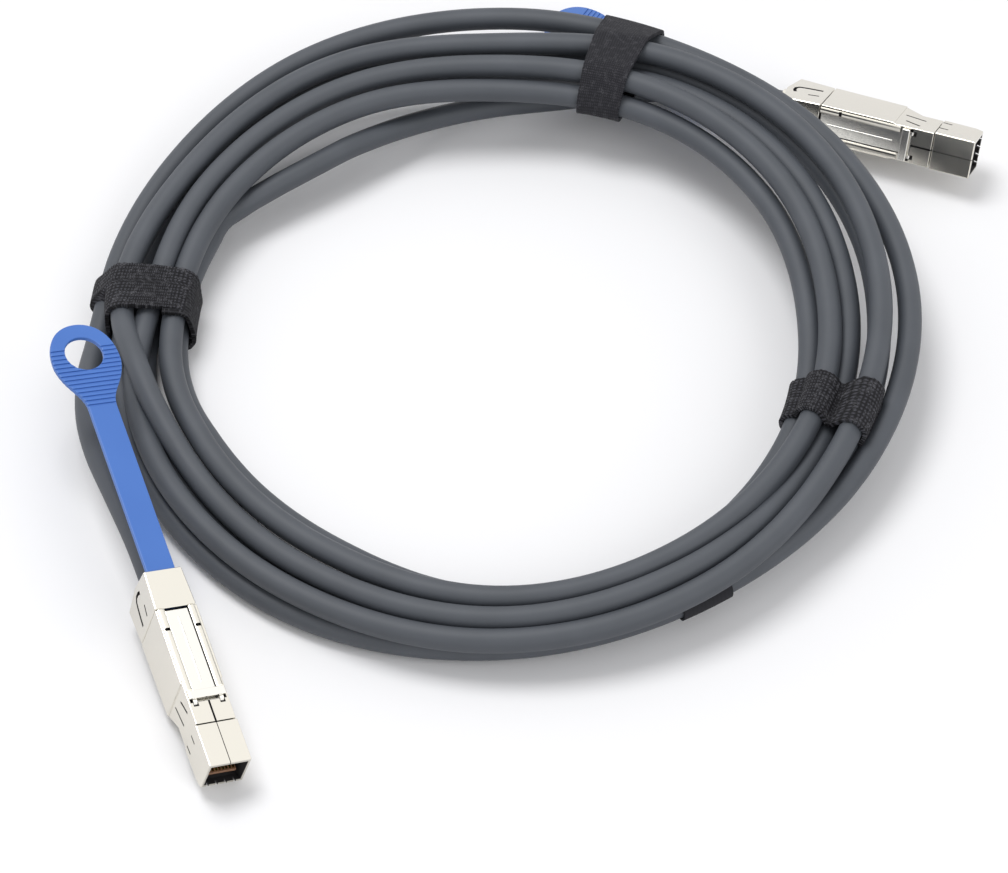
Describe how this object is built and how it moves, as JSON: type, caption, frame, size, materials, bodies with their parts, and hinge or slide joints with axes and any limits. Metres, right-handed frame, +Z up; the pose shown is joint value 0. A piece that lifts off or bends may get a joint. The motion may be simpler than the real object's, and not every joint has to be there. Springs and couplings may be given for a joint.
{
  "type": "mini SAS HD cable",
  "caption": "Coiled external data cable with a latching metal plug and a blue pull tab on each end, bundled with hook-and-loop ties.",
  "frame": {"origin": "bottom centre of the box around the two plugs and their pull tabs, on the table", "axes": "+Z up from the table, +Y away from the viewer of the picture, +X to the viewer's right"},
  "size_m": [0.298, 0.3207, 0.0412],
  "materials": {
    "shell_nickel": "satin nickel plate on zinc die casting",
    "latch_steel": "bright rolled spring steel",
    "card_laminate": "solder mask over glass laminate with gold pads",
    "carrier_plastic": "moulded black thermoplastic",
    "ferrule_metal": "drawn and crimped sleeve",
    "tab_plastic": "satin moulded blue thermoplastic",
    "jacket": "matt extruded jacket",
    "hook_loop": "woven hook-and-loop strap"
  },
  "bodies": {
    "cable": {"rear_shell_a": "shell_nickel", "body_shell_a": "shell_nickel", "nose_shell_a": "shell_nickel", "latch_bridge_a": "latch_steel", "card_upper_a": "card_laminate", "card_lower_a": "card_laminate", "card_carrier_a": "carrier_plastic", "crimp_ferrule_a": "ferrule_metal", "rear_shell_b": "shell_nickel", "body_shell_b": "shell_nickel", "nose_shell_b": "shell_nickel", "latch_bridge_b": "latch_steel", "card_upper_b": "card_laminate", "card_lower_b": "card_laminate", "card_carrier_b": "carrier_plastic", "crimp_ferrule_b": "ferrule_metal", "cable_coil": "jacket", "cable_lead_a": "jacket", "cable_lead_b": "jacket", "tie_left": "hook_loop", "tie_top": "hook_loop", "tie_right": "hook_loop", "sleeve_band": "hook_loop"},
    "tab_a": {"pull_tab_a": "tab_plastic"},
    "latch_a": {"latch_plate_a": "latch_steel"},
    "tab_b": {"pull_tab_b": "tab_plastic"},
    "latch_b": {"latch_plate_b": "latch_steel"}
  },
  "joints": [
    {"name": "tab_slide_a", "type": "slide", "parent": "cable", "child": "tab_a", "axis": [-0.3404, 0.9253, 0.1671], "range_m": [0, 0.0025], "stiffness_N_per_m": 300},
    {"name": "latch_dip_a", "type": "hinge", "parent": "cable", "child": "latch_a", "pos_m": [-0.10566, -0.10998, 0.02278], "axis": [0.897, 0.3729, -0.2375], "range_deg": [0, 1.95]},
    {"name": "tab_slide_b", "type": "slide", "parent": "cable", "child": "tab_b", "axis": [-0.9316, 0.3625, -0.0255], "range_m": [0, 0.0025], "stiffness_N_per_m": 300},
    {"name": "latch_dip_b", "type": "hinge", "parent": "cable", "child": "latch_b", "pos_m": [0.09638, 0.10229, 0.01468], "axis": [0.1286, 0.3946, 0.9098], "range_deg": [0, 1.95]}
  ],
  "couplings": [
    {"joint": "latch_dip_a", "follows": "tab_slide_a", "rad_per_m": 13.4},
    {"joint": "latch_dip_b", "follows": "tab_slide_b", "rad_per_m": 13.4}
  ]
}
